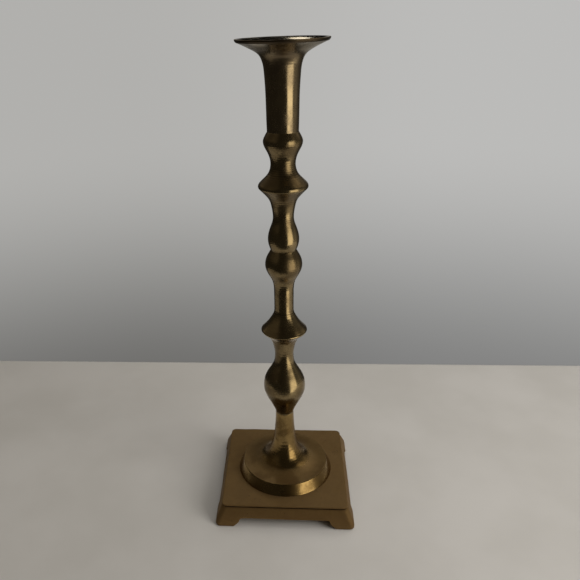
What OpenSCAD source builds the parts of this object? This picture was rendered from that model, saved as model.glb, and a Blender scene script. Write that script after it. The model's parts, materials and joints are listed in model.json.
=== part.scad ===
/* [Heights] */
// Height of the square plinth
plinth_h = 18.7; // [16:0.1:24]
// Height of the round foot, from the plinth to its neck
foot_len = 61; // [52:1:80]
// Length of the lower stem, which carries the pear-shaped knop
lower_len = 71.4; // [68:0.2:90]
// Length of the middle stem, which carries the lower disc and the lower bead
middle_len = 82; // [80:0.2:100]
// Length of the upper stem, which carries the upper bead, the upper disc and the small bead
upper_len = 92.1; // [91:0.1:110]
// Length of the trumpet-shaped candle cup
cup_len = 63.9; // [62:0.1:80]

/* [Plinth] */
// Width of the square top plate
top_w = 108; // [96:1:130]
// Width across the feet, at the floor
floor_w = 119.2; // [112:0.2:140]
// Thickness of the top plate's edge, above the groove
ledge_h = 1.4; // [0.8:0.1:2]
// Height of the groove under the top plate's edge
groove_h = 1.2; // [0.6:0.1:1.6]
// Depth of that groove
groove_depth = 0.9; // [0.4:0.1:1.4]
// Height of the opening between two feet
arch_h = 7.3; // [5:0.1:9]
// Length of a foot along the floor
toe_len = 15.6; // [12:0.1:22]
// Thickness of the plate over the hollow underside
plate_t = 5; // [3:0.5:7]
// Thickness of the skirt around the hollow underside
skirt_t = 5; // [3.5:0.5:7]
// Width taken off each upright corner
corner_cut = 1.8; // [0.5:0.1:3]

/* [Round foot] */
// Radius of the round foot where it meets the plinth
foot_r = 42.2; // [38:0.2:46]
// Radius of the round foot's crisp upper edge
foot_edge_r = 37.9; // [32:0.1:41]
// Height of the sloped band below that edge
band_h = 9.4; // [7:0.2:12]

/* [Turned stem] */
// Radius of the neck above the round foot
neck_r = 7.9; // [7:0.1:10]
// Radius of the pear-shaped knop
knop_r = 17.9; // [14:0.1:22]
// Radius of the collar on top of the lower stem
collar_r = 9.95; // [9:0.05:11]
// Radius of the thin shafts between the turned knops
shaft_r = 8; // [7.4:0.1:9]
// Radius of the middle stem where it sits on the collar
disc_seat_r = 10.6; // [10:0.1:12]
// Radius of the lower disc
lower_disc_r = 19.1; // [15:0.1:24]
// Radius of the lower bead
lower_bead_r = 14.9; // [13:0.1:18]
// Radius at the bottom of the groove between the two beads
vee_r = 10.2; // [9:0.1:11]
// Radius of the upper bead
upper_bead_r = 12.4; // [11:0.1:14]
// Radius of the upper disc
upper_disc_r = 19.3; // [16:0.1:24]
// Radius of the waist under the small bead
waist_r = 9.5; // [8.5:0.1:10.5]
// Radius of the small bead under the candle cup
small_bead_r = 14.9; // [13:0.1:18]

/* [Candle cup] */
// Radius of the cup's shank where it sits on the stem
shank_r = 11.8; // [11.5:0.1:13]
// Radius of the rim
rim_r = 33.8; // [28:0.1:42]
// Thickness of the rim's rounded edge
rim_t = 2.2; // [1.8:0.1:3]
// Radius of the candle socket
socket_r = 11; // [10:0.1:11]
// Depth of the rim above the top of the socket's straight wall
pan_h = 11.5; // [10:0.5:13]
// Length of the socket's straight wall
socket_len = 23; // [15:1:26]

/* [Fastening] */
// Diameter of the tie rod
rod_d = 6; // [5:1:6]
// Clearance between the rod and the holes that it passes through
rod_gap = 0.4; // [0.2:0.1:0.6]
// Clearance of a threaded or fitted surface
fit_gap = 0.05; // [0.03:0.01:0.1]
// Width across the nut's flats
nut_af = 10; // [9:0.5:11]
// Height of the nut
nut_h = 5; // [4:0.5:5]

/* [Hidden] */
$fn = 96;

foot_z = plinth_h;
lower_z = foot_z + foot_len;
middle_z = lower_z + lower_len;
upper_z = middle_z + middle_len;
cup_z = upper_z + upper_len;
total_h = cup_z + cup_len;
socket_top_z = total_h - pan_h;
socket_floor_z = socket_top_z - socket_len;

curve_steps = 5;        // straight pieces in one curved stretch of a turned outline
flank_steps = 5;        // straight pieces in the plinth's curved flank
eps = 0.01;
rod_r = rod_d / 2;
rod_hole_r = rod_r + rod_gap;
spigot_r = 5;           // the short spigots that centre one section on the next
spigot_h = 3;
foot_spigot_r = 8;      // the round foot's spigot, which centres it in the plinth
boss_r = 13;            // solid middle of the round foot's underside
recess_r = 35;          // outside of the ring-shaped recess in that underside
recess_h = 5;
rod_grip = 17;          // length of rod that is screwed into the cup
rod_tip_z = cup_z + rod_grip;
plate_under_z = plinth_h - plate_t;
washer_r = 12;
washer_t = 1.6;
lock_r = 5.6;
lock_t = 1.6;
lock_slot = 1.2;
nut_top_z = plate_under_z - washer_t - lock_t;
rod_end_z = nut_top_z - nut_h - 1.2;
toe_rise = arch_h - 1.1; // height of the foot's sloping toe

brass_cast = [0.33, 0.25, 0.14];
brass_turned = [0.42, 0.35, 0.22];
steel_grey = [0.5, 0.5, 0.5];

// ---- Outlines ----

function between(a, b, t) = a + (b - a) * t;

// One point of the smooth curve from station a to station b.
// A station is [height, radius, slope below it, slope above it].
function flow_point(a, b, t) =
    let (h = b[0] - a[0], t2 = t * t, t3 = t * t * t)
    [(2 * t3 - 3 * t2 + 1) * a[1] + (t3 - 2 * t2 + t) * h * a[3]
     + (3 * t2 - 2 * t3) * b[1] + (t3 - t2) * h * b[2],
     a[0] + t * h];

// The whole curve through a list of stations, as [radius, height] points
function flow(stations) =
    concat([for (i = [0 : len(stations) - 2], k = [0 : curve_steps - 1])
                flow_point(stations[i], stations[i + 1], k / curve_steps)],
           [[stations[len(stations) - 1][1], stations[len(stations) - 1][0]]]);

// A curve with two end points and two control points
function bezier(p0, p1, p2, p3, steps) =
    [for (k = [0 : steps])
        let (t = k / steps, u = 1 - t)
        u * u * u * p0 + 3 * u * u * t * p1 + 3 * u * t * t * p2 + t * t * t * p3];

// Turns an outline, a list of [radius, height] points, into a solid
module turned(points) {
    top = points[len(points) - 1][1];
    bottom = points[0][1];
    rotate_extrude()
        polygon(concat([[0, bottom]], points, [[0, top]]));
}

module bore(z, r, h) {
    translate([0, 0, z]) cylinder(r = r, h = h);
}

// The clearance hole for the tie rod and the socket for the spigot below
module section_bores(z, length) {
    bore(z - eps, rod_hole_r, length + spigot_h + 1);
    bore(z - eps, spigot_r + fit_gap, spigot_h + 0.3);
}

module spigot(z) {
    bore(z - eps, spigot_r, spigot_h + eps);
}

// ---- Plinth ----

// Half of the plinth's upright outline, as [half width, height] points.
// scale_w and cut give the same outline across the corners.
function flank(scale_w, cut) =
    let (top_half = top_w / 2, floor_half = floor_w / 2, heel = 3, bottom_round = 0.8,
         groove_z = plinth_h - ledge_h - groove_h)
    [for (p = concat(
        [[floor_half - bottom_round, 0], [floor_half, bottom_round]],
        [for (k = [0 : flank_steps])
            let (t = k / flank_steps)
            [between(floor_half, top_half + 0.2, pow(t, 1.2)), between(heel, groove_z, t)]],
        [[top_half - groove_depth, groove_z + 0.2],
         [top_half - groove_depth, groove_z + groove_h - 0.1],
         [top_half, groove_z + groove_h],
         [top_half, plinth_h - 0.3],
         [top_half - 0.3, plinth_h]]))
        [p[0] * scale_w - cut, p[1]]];

module flank_slab(scale_w, cut, turn) {
    side = flank(scale_w, cut);
    span = floor_w * 1.6;
    rotate([0, 0, turn]) rotate([90, 0, 0])
        linear_extrude(height = span, center = true)
            polygon(concat(side, [for (k = [len(side) - 1 : -1 : 0]) [-side[k][0], side[k][1]]]));
}

// The opening between two feet, with the feet's sloping toes
module arch(turn) {
    heel_x = floor_w / 2 - toe_len;
    toe = [[heel_x, -1], [heel_x, 0], [heel_x - 4.6, toe_rise * 0.68], [heel_x - 5.3, toe_rise],
           [heel_x - 6.2, arch_h - 0.2], [heel_x - 7.5, arch_h]];
    rotate([0, 0, turn]) rotate([90, 0, 0])
        linear_extrude(height = floor_w * 1.2, center = true)
            polygon(concat(toe, [for (k = [len(toe) - 1 : -1 : 0]) [-toe[k][0], toe[k][1]]]));
}

module plinth() {
    pocket_w = top_w - 2 * skirt_t;
    color(brass_cast)
    difference() {
        intersection() {
            flank_slab(1, 0, 0);
            flank_slab(1, 0, 90);
            flank_slab(sqrt(2), corner_cut, 45);
            flank_slab(sqrt(2), corner_cut, 135);
        }
        translate([-pocket_w / 2, -pocket_w / 2, -1])
            cube([pocket_w, pocket_w, plate_under_z + 1]);
        arch(0);
        arch(90);
        bore(0, foot_spigot_r + fit_gap, plinth_h + 1);
    }
}

// ---- Turned sections, from the bottom up ----

module round_foot() {
    edge_z = foot_z + band_h;
    sweep = bezier([foot_edge_r - 0.3, edge_z], [16, edge_z + 0.2],
                   [neck_r + 1.1, edge_z + 6.6], [neck_r, lower_z], 24);
    color(brass_turned)
    difference() {
        union() {
            turned(concat([[foot_r - 0.3, foot_z], [foot_r, foot_z + 0.3],
                           [foot_edge_r, edge_z - 0.3]], sweep));
            spigot(lower_z);
            bore(foot_z - 3, foot_spigot_r, 3 + eps);
        }
        bore(foot_z - 4, rod_hole_r, foot_len + spigot_h + 5);
        difference() {
            bore(foot_z - eps, recess_r, recess_h);
            bore(foot_z - 1, boss_r, recess_h + 2);
        }
    }
}

module lower_stem() {
    function knop(t) = between(neck_r, knop_r, t);
    line = [[0, neck_r, 0, 0.02], [6, knop(0.19), 0.45, 0.45], [14.5, knop(0.605), 0.5, 0.5],
            [22.6, knop(0.94), 0.3, 0.3], [27.8, knop_r, 0, 0], [36.8, knop(0.83), -0.42, -0.42],
            [44.9, knop(0.385), -0.57, -0.57], [52, knop(0.06), -0.2, -0.2], [59, neck_r, 0, 0],
            [lower_len, collar_r, 0.15, 0]];
    color(brass_turned)
    difference() {
        union() {
            translate([0, 0, lower_z]) turned(flow(line));
            spigot(middle_z);
        }
        section_bores(lower_z, lower_len);
    }
}

module middle_stem() {
    function disc(t) = between(shaft_r, lower_disc_r, t);
    function bead(t) = between(shaft_r, lower_bead_r, t);
    line = [[0, disc_seat_r, 0, 0.32], [4.6, disc(0.45), 0.85, 0.85], [9.1, disc(0.9), 1.05, 1.05],
            [10.8, lower_disc_r, 0, 0], [12.7, disc(0.87), -0.95, -0.95],
            [20.5, disc(0.32), -0.62, -0.62], [29, shaft_r, -0.03, -0.03], [44.8, shaft_r, 0, 0],
            [54.8, bead(0.16), 0.3, 0.3], [61.1, bead(0.62), 0.56, 0.56], [69.2, lower_bead_r, 0, 0],
            [76.6, bead(0.74), -0.5, -0.5], [middle_len, vee_r, -0.45, 0]];
    color(brass_turned)
    difference() {
        union() {
            translate([0, 0, middle_z]) turned(flow(line));
            spigot(upper_z);
        }
        section_bores(middle_z, middle_len);
    }
}

module upper_stem() {
    function bead(t) = between(shaft_r, upper_bead_r, t);
    function disc(t) = between(shaft_r, upper_disc_r, t);
    function small(t) = between(waist_r, small_bead_r, t);
    line = [[0, vee_r, 0, 0.48], [8.9, upper_bead_r, 0, 0], [17.8, bead(0.57), -0.36, -0.36],
            [25.6, bead(0.05), -0.06, -0.06], [33.6, disc(0.08), 0.2, 0.2],
            [42.2, disc(0.34), 0.72, 0.72], [49.5, disc(0.93), 0.98, 0.98],
            [51.2, upper_disc_r, 0, 0], [53.6, disc(0.91), -0.85, -0.85],
            [60.9, disc(0.31), -0.58, -0.58], [68.3, waist_r, 0, 0], [76.6, small(0.38), 0.49, 0.49],
            [84.9, small_bead_r, 0, 0], [88.9, small(0.76), -0.53, -0.53],
            [upper_len, shank_r, -0.6, 0]];
    color(brass_turned)
    difference() {
        union() {
            translate([0, 0, upper_z]) turned(flow(line));
            spigot(cup_z);
        }
        section_bores(upper_z, upper_len);
    }
}

module candle_cup() {
    edge_z = cup_len - rim_t;
    flare = (rim_r - 0.3 - shank_r) / 21.7;
    line = [[0, shank_r, 0, 0.03], [21.5, shank_r + 0.45, 0.015, 0.015],
            [edge_z - 22.2, shank_r + 1.3, 0.08, 0.08], [edge_z - 12.6, shank_r + 2.8 * flare, 0.36, 0.36],
            [edge_z - 8.2, shank_r + 5.3 * flare, 0.95, 0.95], [edge_z - 4.7, shank_r + 10.6 * flare, 2, 2],
            [edge_z, rim_r - 1.2, 2.6, 0]];
    rim = [[rim_r - 0.35, edge_z + 0.9], [rim_r, cup_len - 0.2], [rim_r - 0.2, cup_len]];
    pan = bezier([rim_r - 1.4, total_h], [20, total_h - 2.9], [socket_r + 0.2, total_h - 5.4],
                 [socket_r, socket_top_z], 14);
    color(brass_turned)
    difference() {
        translate([0, 0, cup_z]) turned(concat(flow(line), rim));
        rotate_extrude()
            polygon(concat([[0, total_h + 1], [rim_r - 1.4, total_h + 1]], pan, [[0, socket_top_z]]));
        bore(socket_floor_z, socket_r, socket_len + eps);
        bore(cup_z - eps, rod_r + fit_gap, rod_grip + 2);
        bore(cup_z - eps, spigot_r + fit_gap, spigot_h + 0.3);
    }
}

// ---- Fastening ----

module tie_rod() {
    tip = 0.6;
    color(steel_grey)
    turned([[rod_r - tip, rod_end_z], [rod_r, rod_end_z + tip], [rod_r, rod_tip_z - tip],
            [rod_r - tip, rod_tip_z]]);
}

module base_washer() {
    color(steel_grey)
    difference() {
        bore(plate_under_z - washer_t, washer_r, washer_t);
        bore(plate_under_z - washer_t - 1, rod_hole_r, washer_t + 2);
    }
}

module lock_washer() {
    lock_z = plate_under_z - washer_t - lock_t;
    color(steel_grey)
    difference() {
        bore(lock_z, lock_r, lock_t);
        bore(lock_z - 1, rod_r + 0.15, lock_t + 2);
        translate([0, -lock_slot / 2, lock_z - 1]) cube([lock_r + 1, lock_slot, lock_t + 2]);
    }
}

module hex_nut() {
    color(steel_grey)
    difference() {
        translate([0, 0, nut_top_z - nut_h])
            cylinder(d = nut_af / cos(30), h = nut_h, $fn = 6);
        bore(nut_top_z - nut_h - 1, rod_r + fit_gap, nut_h + 2);
    }
}

plinth();
round_foot();
lower_stem();
middle_stem();
upper_stem();
candle_cup();
tie_rod();
base_washer();
lock_washer();
hex_nut();
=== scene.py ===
"""Altar candlestick: aged turned brass on a cast square plinth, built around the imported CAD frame.

The object's own sizes are millimetres in the part's frame, and MM turns them into metres. The stage and
its lights are in metres.
"""
import json
import math

import bpy
from mathutils import Matrix, Vector, noise


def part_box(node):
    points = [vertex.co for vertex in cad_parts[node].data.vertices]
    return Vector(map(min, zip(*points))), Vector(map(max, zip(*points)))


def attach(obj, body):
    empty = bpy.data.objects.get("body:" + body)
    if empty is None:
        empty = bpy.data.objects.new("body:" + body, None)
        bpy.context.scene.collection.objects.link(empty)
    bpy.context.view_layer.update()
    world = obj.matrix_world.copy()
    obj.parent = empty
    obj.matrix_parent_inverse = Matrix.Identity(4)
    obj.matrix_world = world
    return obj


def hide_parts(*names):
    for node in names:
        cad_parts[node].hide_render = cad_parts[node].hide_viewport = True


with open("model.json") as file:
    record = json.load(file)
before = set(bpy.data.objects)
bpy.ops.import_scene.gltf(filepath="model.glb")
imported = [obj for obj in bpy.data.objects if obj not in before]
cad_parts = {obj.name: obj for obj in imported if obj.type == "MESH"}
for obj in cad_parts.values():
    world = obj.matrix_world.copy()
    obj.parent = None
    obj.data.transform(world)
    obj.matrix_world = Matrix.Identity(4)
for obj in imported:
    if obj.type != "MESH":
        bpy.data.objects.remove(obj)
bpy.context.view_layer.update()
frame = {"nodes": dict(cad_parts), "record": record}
scene = bpy.context.scene

MM = 0.001

# ---------------------------------------------------------------- sizes

# Inner details of the turned sections, as the CAD has them
ROD_HOLE_R = 3.4
SPIGOT_R = 5.0
SPIGOT_GAP = 0.05
SPIGOT_H = 3.0
SPIGOT_SOCKET_H = 3.3
FOOT_SPIGOT_R = 8.0
FOOT_BOSS_R = 13.0
FOOT_RECESS_R = 35.0
FOOT_RECESS_H = 5.0
TAPPED_R = 3.05
TAPPED_H = 19.0

# How the CAD's turned outlines are read
OUTER_MIN_R = SPIGOT_R + 1.0    # a section's outside is further from the axis than this
FOOT_INNER_R = 14.0             # the round foot's boss and spigot are nearer the axis than this
FOOT_INNER_H = 12.0             # and lower than this above the plinth
SLACK = 0.1                     # how far a reading may miss one of the CAD's sizes
AXIS_R = 0.02                   # where a solid stretch of an outline stops, next to the axis

# The candle cup's rim
RIM_EDGE_START = 0.1            # where the edge darkened with painted shade starts, outwards from the pan's edge
RIM_EDGE_TOP = 0.15             # and how far below the rim's top
RIM_PAINTED_SHADE = 0.8
PAN_LIP = 0.3                   # how far the polish reaches over the pan's edge

# The plinth's outline
TOP_HALF = 54.0
TOP_EDGE_R = 0.45
LEDGE_H = 1.4
GROOVE_H = 1.2
GROOVE_DEPTH = 0.9
HEEL_H = 3.0                    # straight stretch of the flank, above the floor
FLANK_TOP_HALF = TOP_HALF + 0.2
FLANK_CURVE = 1.2
FLANK_ROWS = 9
LOWER_EDGE_R = 0.8
PLATE_T = 5.0
POCKET_HALF = 49.0
POCKET_FILLET = 2.0
CORNER_R = 4.35
ARCH_H = 7.3
HEEL_X = 44.0                   # where a foot's flat bottom ends, from the middle of the side
FIXED_END = HEEL_X + 1.5        # the columns of points are parallel up to here, and fan out beyond
CAST_DEPTH = 0.22               # how far the cast surface wanders in and out
CAST_WAVES = 0.055              # and how many waves it has in a millimetre

# A foot's inner end, from the arch's level edge down to the floor: distance from the side's middle, height
TOE = [(HEEL_X - 7.5, ARCH_H), (HEEL_X - 6.2, ARCH_H - 0.2), (HEEL_X - 5.3, ARCH_H - 1.1),
       (HEEL_X - 4.6, ARCH_H - 3.1), (HEEL_X, 0.0)]
# Where columns of points stand along it, inwards from HEEL_X
TOE_STEPS = (7.5, 6.8, 6.2, 5.7, 5.3, 4.95, 4.6, 3.4, 2.2, 1.0, 0.3, 0.0)

# The fastening
THREAD_LENGTH = 14.0
THREAD_PITCH = 1.0
THREAD_DEPTH = 0.35
THREAD_STEP = 0.125
ROD_CHAMFER = 0.6
LOCK_HOLE_R = 3.15
NUT_CHAMFER = 0.4               # of the nut's threaded hole

# How finely curves are made
LATHE_SEGMENTS = 192
WIDE_SEGMENTS = 256             # for the widest turned pieces
CURVE_STEPS = 4                 # pieces between two points of a curve
KEPT_CORNER = 33.0              # degrees: smooth() keeps a sharper corner
SOFT_CORNER = 20.0              # degrees: soften() leaves a weaker one
QUARTER_TURN = [k / 4 * math.pi / 2 for k in range(5)]
LEVEL_NORMAL = 0.97             # upward part of a level face's normal


def node_box(node):
    """Lowest and highest corner of a CAD node, in millimetres."""
    low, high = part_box(node)
    return low / MM, high / MM


def socket_radius():
    """The candle socket's radius, from the record's mount."""
    mounts = {m["name"]: m for m in frame["record"]["mounts"]}
    return mounts["candle_socket"]["dims"]["r_mm"]


# ---------------------------------------------------------------- outlines

def cad_outline(node, facing, min_r):
    """(radius, height) points of a turned CAD node's side walls, from the bottom up.

    facing is 1 for walls that look away from the axis, and -1 for walls that look towards it.
    """
    mesh = frame["nodes"][node].data
    rings = {}
    for face in mesh.polygons:
        centre = Vector(face.center[:2])
        if centre.length < 1e-6 or face.normal.xy.dot(centre.normalized()) * facing < 0.02:
            continue
        for index in face.vertices:
            co = mesh.vertices[index].co / MM
            if co.xy.length >= min_r:
                rings.setdefault(round(co.z, 2), []).append(co.xy.length)
    return [(max(radii), z) for z, radii in sorted(rings.items())]


def turn_angle(a, b, c):
    """How sharply a polyline turns at b, in degrees."""
    first = Vector((b[0] - a[0], b[1] - a[1]))
    second = Vector((c[0] - b[0], c[1] - b[1]))
    return math.degrees(first.angle(second, 0.0))


def smooth(points):
    """A finer polyline on a smooth curve through points, which keeps their sharp corners."""
    tangents = []
    for i, p in enumerate(points):
        before = points[max(i - 1, 0)]
        after = points[min(i + 1, len(points) - 1)]
        sharp = 0 < i < len(points) - 1 and turn_angle(before, p, after) > KEPT_CORNER
        tangents.append(None if sharp else (Vector(after) - Vector(before)).normalized())
    fine = []
    for i, (p, q) in enumerate(zip(points, points[1:])):
        p, q = Vector(p), Vector(q)
        chord = q - p
        start = tangents[i] or chord.normalized()
        end = tangents[i + 1] or chord.normalized()
        for k in range(CURVE_STEPS):
            t = k / CURVE_STEPS
            fine.append((2 * t**3 - 3 * t**2 + 1) * p + (t**3 - 2 * t**2 + t) * chord.length * start
                        + (3 * t**2 - 2 * t**3) * q + (t**3 - t**2) * chord.length * end)
    return [tuple(v) for v in fine] + [tuple(points[-1])]


def soften(points, radius):
    """Rounds the corners of a closed polyline."""
    rounded = []
    count = len(points)
    for i in range(count):
        before, p, after = (Vector(points[(i + k) % count]) for k in (-1, 0, 1))
        if turn_angle(before, p, after) < SOFT_CORNER:
            rounded.append(tuple(p))
            continue
        reach = min(radius, 0.45 * (before - p).length, 0.45 * (after - p).length)
        a = p + (before - p).normalized() * reach
        b = p + (after - p).normalized() * reach
        for k in range(CURVE_STEPS + 1):
            t = k / CURVE_STEPS
            rounded.append(tuple((1 - t) ** 2 * a + 2 * t * (1 - t) * p + t**2 * b))
    return rounded


# ---------------------------------------------------------------- meshes

def new_piece(name, vertices, faces, sharp_angle=38.0):
    """A mesh object from millimetre vertices, smooth shaded with its sharp edges marked."""
    mesh = bpy.data.meshes.new(name)
    mesh.from_pydata([tuple(c * MM for c in v) for v in vertices], [], faces)
    mesh.validate()
    mesh.shade_smooth()
    mesh.set_sharp_from_angle(angle=math.radians(sharp_angle))
    piece = bpy.data.objects.new(name, mesh)
    scene.collection.objects.link(piece)
    return piece


def skin(columns, rows, wraps=True):
    """Faces between neighbouring columns of points, where each column is a closed loop of rows points."""
    faces = []
    for c in range(columns if wraps else columns - 1):
        here, there = c * rows, (c + 1) % columns * rows
        for i in range(rows):
            j = (i + 1) % rows
            faces.append((here + i, there + i, there + j, here + j))
    return faces


def store_shape(piece, edge, hollow):
    """Keeps how exposed (edge) and how sheltered (hollow) each vertex is, for the materials."""
    for name, values in (("edge", edge), ("hollow", hollow)):
        attribute = piece.data.attributes.new(name, "FLOAT", "POINT")
        attribute.data.foreach_set("value", values)


def clamped(values, gain):
    """The values times gain, kept between 0 and 1."""
    return [min(max(value * gain, 0.0), 1.0) for value in values]


def shape_from_outline(piece, points, segments):
    """Stores edge and hollow values of a turned piece from how its closed outline bends."""
    count = len(points)
    bends = []
    for i in range(count):
        a, b, c = (Vector(points[(i + k) % count]) for k in (-1, 0, 1))
        first, second = b - a, c - b
        length = max((first.length + second.length) / 2, 1e-6)
        bends.append(math.atan2(first.x * second.y - first.y * second.x, first.dot(second)) / length)
    bends = [sum(bends[(i + k) % count] for k in (-1, 0, 1)) / 3 for i in range(count)]
    store_shape(piece, clamped(bends, 0.8) * segments, clamped(bends, -3.0) * segments)


def shape_from_faces(piece):
    """Stores edge and hollow values of any piece from how the faces around each vertex bend."""
    mesh = piece.data
    bends = [0.0] * len(mesh.vertices)
    counts = [0] * len(mesh.vertices)
    for e in mesh.edges:
        a, b = (mesh.vertices[i] for i in e.vertices)
        along = b.co - a.co
        level = abs(a.normal.z) > LEVEL_NORMAL and abs(b.normal.z) > LEVEL_NORMAL
        if along.length < 1e-7 or level:
            continue
        bend = (b.normal - a.normal).dot(along) / along.length_squared * MM
        for i in e.vertices:
            bends[i] += bend
            counts[i] += 1
    bends = [bend / max(count, 1) for bend, count in zip(bends, counts)]
    store_shape(piece, clamped(bends, 1.6), clamped(bends, -2.5))


def lathe(name, outline, segments=LATHE_SEGMENTS, reshape=None):
    """Turns a closed outline of (radius, height) points into a piece.

    The outline runs anticlockwise, with the axis at its left. reshape, where given, is a function of
    radius, height and angle that returns a new radius and height.
    """
    vertices = []
    for s in range(segments):
        angle = 2 * math.pi * s / segments
        for r, z in outline:
            if reshape:
                r, z = reshape(r, z, angle)
            vertices.append((r * math.cos(angle), r * math.sin(angle), z))
    piece = new_piece(name, vertices, skin(segments, len(outline)))
    shape_from_outline(piece, outline, segments)
    return piece


# ---------------------------------------------------------------- turned pieces

def spigot(top):
    """Outline of the spigot on top of a section, as far as its rod hole."""
    return [(SPIGOT_R, top), (SPIGOT_R, top + SPIGOT_H), (ROD_HOLE_R, top + SPIGOT_H)]


def spigot_socket(base, hole_r):
    """Outline of the socket in the bottom of a section, from the hole above it down to its mouth."""
    socket_top = base + SPIGOT_SOCKET_H
    return [(hole_r, socket_top), (SPIGOT_R + SPIGOT_GAP, socket_top), (SPIGOT_R + SPIGOT_GAP, base)]


def stem_section(node):
    """A turned stem section with its spigot on top, its rod hole and the socket for the spigot below."""
    wall = cad_outline(node, 1, OUTER_MIN_R)
    core = spigot(wall[-1][1]) + spigot_socket(wall[0][1], ROD_HOLE_R)
    return lathe(node + "_turned", soften(smooth(wall) + core, radius=0.22))


def round_foot():
    """The round foot: a sloped band, a crisp rim and a trumpet sweep up to the neck."""
    base = node_box("plinth")[1].z
    wall = []
    for r, z in cad_outline("round_foot", 1, OUTER_MIN_R):
        if z > base - SLACK and (r > FOOT_INNER_R or z > base + FOOT_INNER_H):
            wall.append((r, z))
    core = spigot(wall[-1][1])
    core += [(ROD_HOLE_R, base - SPIGOT_H), (FOOT_SPIGOT_R, base - SPIGOT_H), (FOOT_SPIGOT_R, base),
             (FOOT_BOSS_R, base), (FOOT_BOSS_R, base + FOOT_RECESS_H),
             (FOOT_RECESS_R, base + FOOT_RECESS_H), (FOOT_RECESS_R, base)]
    return lathe("round_foot_turned", soften(smooth(wall) + core, radius=0.45), WIDE_SEGMENTS)


def candle_cup():
    """The trumpet cup: outside, rim, polished pan, candle socket and the tapped hole in its shank.

    The pan, inside the cup and above the socket's straight wall, takes the piece's second material.
    """
    wall = cad_outline("candle_cup", 1, OUTER_MIN_R)
    pan = cad_outline("candle_cup", -1, socket_radius() - SLACK)
    base = wall[0][1]
    socket_floor, socket_top = pan[0][1], pan[1][1]
    rim_r, rim_z = pan[-1]
    core = [(AXIS_R, socket_floor), (AXIS_R, base + TAPPED_H), (TAPPED_R, base + TAPPED_H)]
    core += spigot_socket(base, TAPPED_R)
    outline = smooth(wall) + smooth(list(reversed(pan))) + core
    piece = lathe("candle_cup_turned", soften(outline, radius=0.35), WIDE_SEGMENTS)
    attributes = piece.data.attributes
    # Painted shade: the rim's outer edge is made dark and dull, with no worn polish, so that it shows no
    # highlight
    for i, vertex in enumerate(piece.data.vertices):
        co = vertex.co / MM
        if co.xy.length > rim_r + RIM_EDGE_START and co.z < rim_z - RIM_EDGE_TOP:
            attributes["edge"].data[i].value = 0.0
            attributes["hollow"].data[i].value = RIM_PAINTED_SHADE
    for face in piece.data.polygons:
        centre = face.center / MM
        inward = face.normal.xy.dot(face.center.xy) < 0
        face.material_index = int(inward and centre.z > socket_top and centre.xy.length < rim_r + PAN_LIP)
    return piece


# ---------------------------------------------------------------- plinth

def flank_half(z, floor_half, groove_z):
    """Half of the plinth's width at height z on its flaring flank."""
    t = min(max((z - HEEL_H) / (groove_z - HEEL_H), 0.0), 1.0)
    return floor_half + (FLANK_TOP_HALF - floor_half) * t**FLANK_CURVE


def arch_rise(u):
    """Height of the plinth's lower edge at u from the middle of a side."""
    u = abs(u)
    if u <= TOE[0][0]:
        return ARCH_H
    for (ua, za), (ub, zb) in zip(TOE, TOE[1:]):
        if u <= ub:
            return za + (zb - za) * (u - ua) / (ub - ua)
    return 0.0


def side_stations():
    """Places along one side of the plinth, from its left corner to the middle of its right corner.

    They are fixed distances near the middle, then shares of the straight rest, then shares of the corner.
    """
    fixed = [4.0 * k for k in range(9)] + [HEEL_X - step for step in TOE_STEPS] + [FIXED_END]
    stations = [("fixed", u) for u in fixed]
    stations += [("share", k / 4) for k in range(1, 5)]
    stations += [("corner", k / 8) for k in range(1, 5)]
    mirrored = [(kind, -value) for kind, value in reversed(stations[1:-1])]
    return mirrored + stations


def square_point(kind, value, half):
    """A station's point on the side of a rounded square that faces -Y. Left of the middle is negative."""
    sign = -1 if value < 0 else 1
    value = abs(value)
    straight = half - CORNER_R
    if kind == "fixed":
        return Vector((sign * min(value, straight), -half))
    if kind == "share":
        start = min(FIXED_END, straight)
        return Vector((sign * (start + (straight - start) * value), -half))
    angle = value * math.pi / 2
    along = straight + CORNER_R * math.sin(angle)
    return Vector((sign * along, -half + CORNER_R * (1 - math.cos(angle))))


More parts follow.
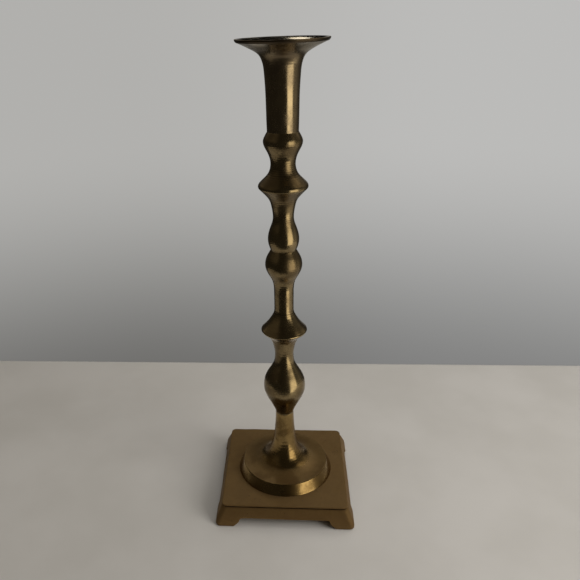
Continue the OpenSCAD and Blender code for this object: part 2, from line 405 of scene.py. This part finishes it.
def plinth_section(rise, height, floor_half):
    """The plinth's section where its lower edge is at height rise, as (form, half width, height) rows.

    It runs from the hole outwards over the top, down the flank, and through the hollow back to the hole.
    """
    hole_r = FOOT_SPIGOT_R + SPIGOT_GAP
    ledge_z = height - LEDGE_H
    groove_z = ledge_z - GROOVE_H
    groove_half = TOP_HALF - GROOVE_DEPTH
    flank_z = groove_z - 0.5
    foot_z = rise + LOWER_EDGE_R
    foot_half = flank_half(foot_z, floor_half, groove_z)
    bottom_half = foot_half - LOWER_EDGE_R
    pocket_z = rise + 0.5
    under_z = height - PLATE_T

    square = [(TOP_HALF - 5, height), (TOP_HALF - 1.6, height)]
    for a in QUARTER_TURN:
        square.append((TOP_HALF - TOP_EDGE_R * (1 - math.sin(a)), height - TOP_EDGE_R * (1 - math.cos(a))))
    square += [(TOP_HALF, ledge_z + 0.25), (TOP_HALF - 0.12, ledge_z + 0.06), (TOP_HALF - 0.35, ledge_z)]
    square += [(groove_half + 0.15, ledge_z - 0.1), (groove_half, ledge_z - 0.4),
               (groove_half + 0.1, groove_z + 0.3)]
    square += [(TOP_HALF - 0.35, groove_z + 0.05), (TOP_HALF, groove_z - 0.1)]
    for k in range(FLANK_ROWS):
        z = flank_z + (foot_z - flank_z) * k / (FLANK_ROWS - 1)
        square.append((flank_half(z, floor_half, groove_z), z))
    for a in QUARTER_TURN[1:]:
        square.append((foot_half - LOWER_EDGE_R * (1 - math.cos(a)), foot_z - LOWER_EDGE_R * math.sin(a)))
    square += [(bottom_half + (POCKET_HALF - bottom_half) * t, rise) for t in (0.3, 0.6, 0.88)]
    square += [(POCKET_HALF + 0.18, rise + 0.1), (POCKET_HALF, pocket_z)]
    for t in (0.35, 0.7, 1.0):
        square.append((POCKET_HALF, pocket_z + (under_z - POCKET_FILLET - pocket_z) * t))
    for a in QUARTER_TURN[1:]:
        half = POCKET_HALF - POCKET_FILLET * (1 - math.cos(a))
        square.append((half, under_z - POCKET_FILLET * (1 - math.sin(a))))
    square.append((40.0, under_z))

    rows = [("round", r, height) for r in (hole_r, 22.0, 38.0, 45.0)]
    rows += [("square", half, z) for half, z in square]
    rows += [("round", r, under_z) for r in (30.0, 18.0, hole_r)]
    return rows


def plinth():
    """The cast plinth: plate, ledge, groove, flaring skirt with four feet, and the hollow underneath."""
    high = node_box("plinth")[1]
    height, floor_half = high.z, high.x
    stations = side_stations()
    vertices = []
    for side in range(4):
        spin = Matrix.Rotation(side * math.pi / 2, 2)
        for kind, value in stations:
            outwards = square_point(kind, value, TOP_HALF).normalized()
            rise = arch_rise(value) if kind == "fixed" else 0.0
            for form, half, z in plinth_section(rise, height, floor_half):
                flat = square_point(kind, value, half) if form == "square" else outwards * half
                flat = spin @ flat
                vertices.append((flat.x, flat.y, z))
    columns = 4 * len(stations)
    # The section runs clockwise, so its faces are turned over
    faces = [(a, d, c, b) for a, b, c, d in skin(columns, len(vertices) // columns)]
    piece = new_piece("plinth_cast", vertices, faces, sharp_angle=42.0)
    roughen(piece, floor_half, height)
    shape_from_faces(piece)
    return piece


def roughen(piece, half_limit, top_limit):
    """Pushes the cast piece's vertices in and out by a smooth noise, inside its own box."""
    for vertex in piece.data.vertices:
        co = vertex.co / MM
        co += vertex.normal * (noise.fractal(co * CAST_WAVES, 1.0, 2.0, 3) * CAST_DEPTH)
        x, y = (min(max(c, -half_limit), half_limit) for c in co.xy)
        vertex.co = Vector((x, y, min(max(co.z, 0.0), top_limit))) * MM
    piece.data.update()


# ---------------------------------------------------------------- fastening

def tie_rod():
    """The tie rod, with its thread cut where it shows under the plinth."""
    low, high = node_box("tie_rod")
    rod_r = high.x
    thread_top = low.z + THREAD_LENGTH
    thread_rows = int(THREAD_LENGTH / THREAD_STEP)
    outline = [(AXIS_R, low.z), (rod_r - ROD_CHAMFER, low.z), (rod_r - 0.1, low.z + 0.5)]
    outline += [(rod_r, low.z + ROD_CHAMFER + THREAD_STEP * k) for k in range(thread_rows)]
    outline += [(rod_r, high.z - ROD_CHAMFER), (rod_r - ROD_CHAMFER, high.z), (AXIS_R, high.z)]

    def thread(r, z, angle):
        if r < rod_r - 0.01 or z > thread_top:
            return r, z
        phase = (z / THREAD_PITCH - angle / (2 * math.pi)) % 1.0
        return r - THREAD_DEPTH * (0.5 + 0.5 * math.cos(2 * math.pi * phase)), z

    return lathe("tie_rod_threaded", outline, 48, thread)


def ring_section(hole_r, outer_r, low_z, high_z, radius):
    """A washer's section with softened corners."""
    return soften([(hole_r, low_z), (outer_r, low_z), (outer_r, high_z), (hole_r, high_z)], radius)


def base_washer():
    """The wide flat washer under the plinth's plate."""
    low, high = node_box("base_washer")
    section = ring_section(ROD_HOLE_R, high.x, low.z, high.z, radius=0.25)
    return lathe("base_washer_flat", section, 96)


def lock_washer():
    """The split spring washer, cut through at a slant on its +X side, so that only -X shows its radius."""
    low, high = node_box("lock_washer")
    segments = 96
    gap = math.radians(8)
    slant = math.radians(14)
    outline = ring_section(LOCK_HOLE_R, -low.x, low.z, high.z, radius=0.2)
    count = len(outline)
    vertices = []
    for s in range(segments + 1):
        for r, z in outline:
            lean = slant * (z - low.z) / (high.z - low.z)
            angle = gap + lean + (2 * math.pi - 2 * gap) * s / segments
            vertices.append((r * math.cos(angle), r * math.sin(angle), z))
    faces = skin(segments + 1, count, wraps=False)
    faces.append(tuple(range(count)))
    faces.append(tuple(segments * count + i for i in reversed(range(count))))
    piece = new_piece("lock_washer_split", vertices, faces)
    shape_from_faces(piece)
    return piece


def hex_nut():
    """The nut, with its corners chamfered top and bottom."""
    low, high = node_box("hex_nut")
    across_corners, flat = high.x, high.y
    chamfer_r = flat - 0.2
    chamfer_h = (across_corners - chamfer_r) * math.tan(math.radians(30))
    mouth_r = TAPPED_R + NUT_CHAMFER
    outline = [(mouth_r, low.z), (chamfer_r, low.z)]
    for k in range(5):
        outline.append((across_corners, low.z + chamfer_h + (high.z - low.z - 2 * chamfer_h) * k / 4))
    outline += [(chamfer_r, high.z), (mouth_r, high.z)]
    outline += [(TAPPED_R, high.z - NUT_CHAMFER), (TAPPED_R, low.z + NUT_CHAMFER)]

    def six_sided(r, z, angle):
        turned = (angle + math.pi / 6) % (math.pi / 3) - math.pi / 6
        return min(r, flat / math.cos(math.pi / 6 - abs(turned))), z

    return lathe("hex_nut_chamfered", outline, 120, six_sided)


# ---------------------------------------------------------------- materials

DIRT_AND_SHADE = (0.035, 0.024, 0.014, 1.0)               # dark specks, and grime with painted shade in the grooves
BROWN_FILM = (0.112, 0.062, 0.018, 1.0)         # on the turned pieces' level faces
PAINTED_TOP_SHEEN = (0.34, 0.245, 0.12, 1.0)           # painted sheen that makes the plinth's level top paler
PIT_BROWN = (0.05, 0.03, 0.018, 1.0)
GRAIN_BRASS = (0.26, 0.19, 0.10, 1.0)
# grime with painted shade, near black, for the plinth's groove and hollows
CAST_GRIME_AND_SHADE = (0.022, 0.012, 0.005, 1.0)
CAST_SHEEN = (0.62, 0.5, 0.34, 1.0)


class Shader:
    """Builds the node tree of one material or world, a node at a time."""

    def __init__(self, owner):
        owner.use_nodes = True
        self.owner = owner
        self.tree = owner.node_tree
        self.tree.nodes.clear()

    def node(self, kind, inputs=None, **settings):
        """Adds a node. inputs maps a socket's name or number to a value or to another node's output."""
        made = self.tree.nodes.new("ShaderNode" + kind)
        for key, value in settings.items():
            setattr(made, key, value)
        for key, value in (inputs or {}).items():
            if isinstance(value, bpy.types.NodeSocket):
                self.tree.links.new(value, made.inputs[key])
            else:
                made.inputs[key].default_value = value
        return made

    def place(self):
        """Where a point is, in the object's own space."""
        return self.node("TexCoord").outputs["Object"]

    def stretched(self, vector, scale):
        """The vector with each of its axes scaled on its own."""
        return self.node("Mapping", {"Vector": vector, "Scale": scale}).outputs[0]

    def noise(self, vector, scale, detail=4.0, roughness=0.55, distortion=0.0):
        """A soft noise from 0 to 1."""
        return self.node("TexNoise", {"Vector": vector, "Scale": scale, "Detail": detail,
                                      "Roughness": roughness, "Distortion": distortion}).outputs["Fac"]

    def spread(self, value, low, high, to_low=0.0, to_high=1.0):
        """Stretches the part of value between low and high over to_low to to_high, smoothly."""
        return self.node("MapRange", {"Value": value, "From Min": low, "From Max": high, "To Min": to_low,
                                      "To Max": to_high}, interpolation_type="SMOOTHSTEP").outputs[0]

    def maths(self, operation, a, b=0.0):
        """One step of arithmetic on two values. A step that takes one value ignores the second."""
        return self.node("Math", {0: a, 1: b}, operation=operation).outputs[0]

    def blend(self, factor, a, b, mode="MIX"):
        """Colour a, with as much of colour b as factor says."""
        return self.node("Mix", {0: factor, 6: a, 7: b}, data_type="RGBA", blend_type=mode).outputs[2]

    def bump(self, height, distance, strength, normal=None):
        """A normal tilted by a height, on top of another bump where one is given."""
        inputs = {"Height": height, "Distance": distance, "Strength": strength}
        if normal is not None:
            inputs["Normal"] = normal
        return self.node("Bump", inputs).outputs["Normal"]

    def attribute(self, name):
        """A value that store_shape keeps on the mesh."""
        return self.node("Attribute", attribute_name=name).outputs["Fac"]

    def upward(self):
        """How far the surface faces up: 1 on a level top."""
        normal = self.node("NewGeometry").outputs["Normal"]
        return self.node("SeparateXYZ", {0: normal}).outputs["Z"]

    def finish(self, colour, roughness, normal, metallic, **constants):
        """Joins the values to the surface shader, and returns the material."""
        inputs = {"Base Color": colour, "Roughness": roughness, "Normal": normal, "Metallic": metallic}
        surface = self.node("BsdfPrincipled", inputs | constants)
        self.node("OutputMaterial", {"Surface": surface.outputs[0]})
        return self.owner


def aged_brass(name, clean, tarnish, smoothest, dullest, turning=1.0, filmed=True):
    """Turned brass with a patchy tarnish, fine turning lines, worn edges, and grime with painted shade in
    the grooves.

    smoothest and dullest are the roughness of its clean and its tarnished parts, turning is how deep the
    lines are, and filmed adds a brown film on faces that look up.
    """
    s = Shader(bpy.data.materials.new(name))
    place = s.place()
    patches = s.noise(place, 55.0, 6.0, 0.62, 0.3)
    clouds = s.noise(place, 16.0, 3.0, 0.5)
    specks = s.noise(place, 900.0, 3.0, 0.6)
    age = s.maths("ADD", s.spread(patches, 0.36, 0.66, 0.0, 0.7), s.spread(clouds, 0.35, 0.65, 0.0, 0.3))
    age = s.maths("ADD", age, s.maths("MULTIPLY", s.attribute("hollow"), 0.35))
    age = s.maths("SUBTRACT", age, s.maths("MULTIPLY", s.attribute("edge"), 0.5))
    age = s.spread(age, 0.0, 1.0)
    colour = s.blend(age, clean, tarnish)
    colour = s.blend(s.spread(specks, 0.62, 0.74, 0.0, 0.45), colour, DIRT_AND_SHADE)
    # Painted shade with grime: the hollows, and the cup rim's darkened edge, go towards a dark colour
    colour = s.blend(s.spread(s.attribute("hollow"), 0.3, 0.95, 0.0, 0.75), colour, DIRT_AND_SHADE)
    rough = s.spread(age, 0.0, 1.0, smoothest, dullest)
    rough = s.maths("ADD", rough, s.spread(specks, 0.5, 0.8, 0.0, 0.12))
    metal = 1.0
    if filmed:
        film = s.spread(s.upward(), 0.8, 0.98)
        colour = s.blend(s.maths("MULTIPLY", film, 0.6), colour, BROWN_FILM)
        rough = s.maths("ADD", rough, s.maths("MULTIPLY", film, 0.12))
        metal = s.spread(film, 0.0, 1.0, 1.0, 0.55)
    waves = s.noise(place, 38.0, 2.0, 0.5)
    coarse_lines = s.noise(s.stretched(place, (6.0, 6.0, 420.0)), 1.0, 2.0, 0.5)
    fine_lines = s.noise(s.stretched(place, (25.0, 25.0, 2600.0)), 1.0, 2.0, 0.7)
    normal = s.bump(waves, 0.00035 * turning, 0.5)
    normal = s.bump(coarse_lines, 0.00006 * turning, 0.5, normal)
    normal = s.bump(fine_lines, 0.00002 * turning, 0.5, normal)
    normal = s.bump(specks, 0.00003, 0.5, normal)
    return s.finish(colour, rough, normal, metal)


def cast_brass(name, clean, tarnish):
    """Sand-cast brass: dull, with a fine grain, small pits, a painted sheen that makes the level top
    paler, and grooves darkened by grime with painted shade.
    """
    s = Shader(bpy.data.materials.new(name))
    place = s.place()
    patches = s.noise(place, 42.0, 7.0, 0.65, 0.4)
    clouds = s.noise(place, 13.0, 3.0, 0.5)
    grain = s.noise(place, 1100.0, 4.0, 0.65)
    streaks = s.noise(s.stretched(place, (900.0, 60.0, 60.0)), 1.0, 3.0)
    cells = s.node("TexVoronoi", {"Vector": place, "Scale": 330.0, "Randomness": 1.0}).outputs["Distance"]
    sparse = s.spread(s.noise(place, 120.0, 3.0), 0.52, 0.62)
    pits = s.maths("MULTIPLY", s.spread(cells, 0.26, 0.1), sparse)
    age = s.maths("ADD", s.spread(patches, 0.34, 0.68, 0.0, 0.65), s.spread(clouds, 0.35, 0.65, 0.0, 0.35))
    age = s.maths("ADD", age, s.maths("MULTIPLY", s.attribute("hollow"), 0.5))
    age = s.maths("SUBTRACT", age, s.maths("MULTIPLY", s.attribute("edge"), 0.15))
    age = s.spread(age, 0.0, 1.0)
    colour = s.blend(age, clean, tarnish)
    # Painted sheen: the level top is made paler, standing in for the lit wall it would mirror
    colour = s.blend(s.spread(s.upward(), 0.8, 0.98, 0.0, 0.15), colour, PAINTED_TOP_SHEEN)
    colour = s.blend(s.maths("MULTIPLY", pits, 0.6), colour, PIT_BROWN)
    colour = s.blend(s.spread(grain, 0.6, 0.75, 0.0, 0.3), colour, GRAIN_BRASS)
    # Painted shade with grime: the groove and the other hollows go to near black
    colour = s.blend(s.spread(s.attribute("hollow"), 0.1, 0.6), colour, CAST_GRIME_AND_SHADE)
    rough = s.spread(s.maths("ADD", age, s.maths("MULTIPLY", grain, 0.6)), 0.2, 1.5, 0.38, 0.56)
    metal = s.spread(age, 0.0, 1.0, 0.6, 0.35)
    normal = s.bump(patches, 0.0005, 0.35)
    normal = s.bump(streaks, 0.00003, 0.4, normal)
    normal = s.bump(grain, 0.00012, 0.5, normal)
    normal = s.bump(pits, 0.0003, 0.6, normal)
    return s.finish(colour, rough, normal, metal, **{"Specular Tint": CAST_SHEEN})


def zinc_steel(name):
    """Dull zinc-plated steel with a grey bloom and small patches of rust."""
    s = Shader(bpy.data.materials.new(name))
    place = s.place()
    bloom = s.noise(place, 260.0, 5.0, 0.6)
    rust = s.maths("MULTIPLY", s.spread(s.noise(place, 420.0, 5.0, 0.7), 0.52, 0.68), 0.7)
    colour = s.blend(s.spread(bloom, 0.35, 0.7), (0.46, 0.46, 0.45, 1.0), (0.26, 0.25, 0.24, 1.0))
    colour = s.blend(rust, colour, (0.16, 0.075, 0.03, 1.0))
    rough = s.spread(s.maths("ADD", bloom, rust), 0.3, 1.2, 0.34, 0.75)
    return s.finish(colour, rough, s.bump(bloom, 0.00004, 0.5), metallic=1.0)


# ---------------------------------------------------------------- build the object

foot_brass = aged_brass("foot_brass", (0.32, 0.218, 0.088, 1.0), (0.165, 0.104, 0.038, 1.0), 0.16, 0.30)
turned_brass = aged_brass("turned_brass", (0.31, 0.235, 0.122, 1.0), (0.16, 0.116, 0.06, 1.0), 0.18, 0.32)
cup_brass = aged_brass("cup_brass", (0.36, 0.28, 0.16, 1.0), (0.19, 0.145, 0.09, 1.0), 0.15, 0.32)
pan_brass = aged_brass("pan_brass", (0.30, 0.235, 0.135, 1.0), (0.20, 0.15, 0.085, 1.0), 0.05, 0.12,
                       turning=0.15, filmed=False)
plinth_brass = cast_brass("cast_brass", (0.20, 0.122, 0.048, 1.0), (0.135, 0.079, 0.029, 1.0))
steel = zinc_steel("zinc_steel")

PIECES = [
    (plinth(), "plinth", "cast_brass", plinth_brass),
    (round_foot(), "round_foot", "turned_brass", foot_brass),
    (stem_section("lower_stem"), "lower_stem", "turned_brass", turned_brass),
    (stem_section("middle_stem"), "middle_stem", "turned_brass", turned_brass),
    (stem_section("upper_stem"), "upper_stem", "turned_brass", turned_brass),
    (candle_cup(), "candle_cup", "cup_brass", cup_brass),
    (tie_rod(), "tie_rod", "zinc_steel", steel),
    (base_washer(), "base_washer", "zinc_steel", steel),
    (lock_washer(), "lock_washer", "zinc_steel", steel),
    (hex_nut(), "hex_nut", "zinc_steel", steel),
]
for piece, node, slot, material in PIECES:
    piece.data.materials.append(material)
    if node == "candle_cup":
        piece.data.materials.append(pan_brass)
    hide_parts(node)
    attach(piece, "root")


# ---------------------------------------------------------------- stage

# The table top, in metres
FLOOR_FRONT, FLOOR_BACK = -0.19, 0.225
FLOOR_LEFT, FLOOR_RIGHT = -0.5, 0.8
FLOOR_EDGE_R = 0.012
FLOOR_SKIRT = -0.3

# Soft panels of the mirrored room: azimuth span, elevation span, softness in degrees, colour added
ROOM_LIGHTS = [
    ((-13.0, 9.0), (-40.0, 6.0), 4.0, (0.31, 0.305, 0.29, 1.0)),        # pale wall behind
    ((9.0, 23.0), (-40.0, 6.0), 4.0, (0.20, 0.196, 0.185, 1.0)),        # its right part
    ((-60.0, 60.0), (14.0, 38.0), 6.0, (0.09, 0.082, 0.068, 1.0)),      # its top, in the shade
    ((16.0, 70.0), (16.0, 40.0), 6.0, (0.11, 0.10, 0.083, 1.0)),        # more of its top at the right
    ((48.0, 100.0), (-40.0, 40.0), 14.0, (0.085, 0.082, 0.075, 1.0)),   # dimmer wall at the right
    ((108.0, 147.0), (-32.0, 24.0), 3.0, (2.0, 1.85, 1.55, 1.0)),       # window at the front right
    ((70.0, 106.0), (-32.0, 8.0), 6.0, (0.14, 0.13, 0.11, 1.0)),        # the window's glow on the wall
    ((-30.0, 90.0), (39.0, 58.0), 5.0, (0.27, 0.235, 0.185, 1.0)),      # warm ceiling
    ((2.0, 100.0), (40.0, 60.0), 6.0, (0.34, 0.30, 0.235, 1.0)),        # its brighter right part
    ((-140.0, -25.0), (15.0, 75.0), 12.0, (0.07, 0.06, 0.045, 1.0)),    # dim upper room at the left
]

# Unlit cupboard above the wall behind, which the candle pan mirrors: azimuth span, elevation span
DARK_SPANS = [((-14.0, 17.0), (9.0, 36.0)), ((1.0, 17.0), (30.0, 53.0))]
DARK_SOFTNESS = 2.0


def studio_floor():
    """A plain pale table top with rounded front and back edges."""
    mesh = bpy.data.meshes.new("studio_floor")
    bends = [math.pi / 2 * k / 6 for k in range(7)]
    edge = [(FLOOR_EDGE_R * (1 - math.sin(a)), -FLOOR_EDGE_R * (1 - math.cos(a))) for a in bends]
    rows = [(FLOOR_FRONT, FLOOR_SKIRT)]
    rows += [(FLOOR_FRONT + inwards, z) for inwards, z in reversed(edge)]
    rows += [(FLOOR_BACK - inwards, z) for inwards, z in edge]
    rows.append((FLOOR_BACK, FLOOR_SKIRT))
    vertices = [(x, y, z) for y, z in rows for x in (FLOOR_LEFT, FLOOR_RIGHT)]
    faces = [(2 * k, 2 * k + 1, 2 * k + 3, 2 * k + 2) for k in range(len(rows) - 1)]
    mesh.from_pydata(vertices, [], faces)
    mesh.shade_smooth()
    floor = bpy.data.objects.new("studio_floor", mesh)
    scene.collection.objects.link(floor)
    s = Shader(bpy.data.materials.new("pale_floor"))
    place = s.place()
    clouds = s.spread(s.noise(place, 9.0, 3.0), 0.3, 0.7)
    colour = s.blend(clouds, (0.66, 0.645, 0.62, 1.0), (0.72, 0.705, 0.685, 1.0))
    weave = s.noise(place, 700.0, 2.0)
    mesh.materials.append(s.finish(colour, 0.9, s.bump(weave, 0.0002, 0.3), metallic=0.0))


def area_light(name, place, aim, size, power, colour, mirrored=False):
    """A soft rectangular light at place, facing aim. The brass mirrors it only where mirrored is true."""
    data = bpy.data.lights.new(name, "AREA")
    data.shape = "RECTANGLE"
    data.size, data.size_y = size
    data.energy = power
    data.color = colour
    lamp = bpy.data.objects.new(name, data)
    lamp.location = place
    lamp.rotation_mode = "QUATERNION"
    lamp.rotation_quaternion = (Vector(aim) - Vector(place)).to_track_quat("-Z", "Y")
    lamp.visible_glossy = mirrored
    lamp.visible_camera = False
    scene.collection.objects.link(lamp)


def studio_world():
    """A plain grey backdrop for the camera, and a soft room for the brass to mirror."""
    world = bpy.data.worlds.new("studio")
    scene.world = world
    s = Shader(world)
    direction = s.node("TexCoord").outputs["Generated"]
    parts = s.node("SeparateXYZ", {0: direction}).outputs
    right = parts["X"]
    azimuth = s.maths("MULTIPLY", s.maths("ARCTAN2", right, parts["Y"]), 180 / math.pi)
    elevation = s.maths("MULTIPLY", s.maths("ARCSINE", parts["Z"]), 180 / math.pi)

    def window(az, el, soft):
        """1 inside a span of azimuths (0 is behind the object, 90 its right) and elevations, 0 outside."""
        inside = s.spread(azimuth, az[0] - soft, az[0] + soft)
        inside = s.maths("MULTIPLY", inside, s.spread(azimuth, az[1] + soft, az[1] - soft))
        inside = s.maths("MULTIPLY", inside, s.spread(elevation, el[0] - soft, el[0] + soft))
        return s.maths("MULTIPLY", inside, s.spread(elevation, el[1] + soft, el[1] - soft))

    plain = s.blend(s.spread(elevation, -33.0, -10.0), (0.15, 0.148, 0.141, 1.0), (0.44, 0.435, 0.42, 1.0))
    plain = s.blend(s.spread(right, -0.25, 0.25), plain, (0.06, 0.062, 0.066, 1.0), "ADD")
    room = (0.034, 0.031, 0.026, 1.0)
    for az, el, soft, colour in ROOM_LIGHTS:
        room = s.blend(window(az, el, soft), room, colour, "ADD")
    for az, el in DARK_SPANS:
        room = s.blend(window(az, el, DARK_SOFTNESS), room, (0.006, 0.006, 0.006, 1.0))
    seen = s.node("LightPath").outputs["Is Camera Ray"]
    background = s.node("Background", {"Color": s.blend(seen, room, plain), "Strength": 1.0})
    s.node("OutputWorld", {"Surface": background.outputs[0]})


studio_floor()
studio_world()
area_light("window_glow", (0.85, -0.42, 0.58), (0.0, 0.0, 0.05), (0.62, 0.62), 5.1, (1.0, 0.97, 0.93))
area_light("overhead", (0.22, 0.40, 1.25), (0.0, 0.0, 0.0), (1.2, 1.2), 5.0, (1.0, 0.985, 0.96))
area_light("pan_glint", (-0.043, 0.73, 0.737), (0.0, 0.03, 0.387), (0.042, 0.16), 0.060,
           (1.0, 0.97, 0.85), mirrored=True)

# ---------------------------------------------------------------- camera

CAMERA_SPOT = (6.4, -469.5, 406.4)      # millimetres, in the part's frame
PITCH_DOWN = 0.4173                     # radians, as are the next two
YAW = -0.0896
ROLL = -0.0375
LENS = 38.90
SENSOR_WIDTH = 36.0
SHIFT_X = 0.0857


def photo_camera():
    """The photograph's camera, turned by yaw, pitch and roll."""
    data = bpy.data.cameras.new("camera")
    data.sensor_width = SENSOR_WIDTH
    data.lens = LENS
    data.shift_x = SHIFT_X
    data.clip_start, data.clip_end = 0.02, 20.0
    camera = bpy.data.objects.new("camera", data)
    scene.collection.objects.link(camera)
    forward = Vector((math.sin(YAW) * math.cos(PITCH_DOWN), math.cos(YAW) * math.cos(PITCH_DOWN),
                      -math.sin(PITCH_DOWN)))
    level = Vector((math.cos(YAW), -math.sin(YAW), 0.0))
    upright = level.cross(forward)
    right = math.cos(ROLL) * level + math.sin(ROLL) * upright
    up = -math.sin(ROLL) * level + math.cos(ROLL) * upright
    turned = Matrix((right, up, -forward)).transposed().to_4x4()
    camera.matrix_world = Matrix.Translation(Vector(CAMERA_SPOT) * MM) @ turned
    scene.camera = camera


photo_camera()
scene.view_settings.view_transform = "Standard"
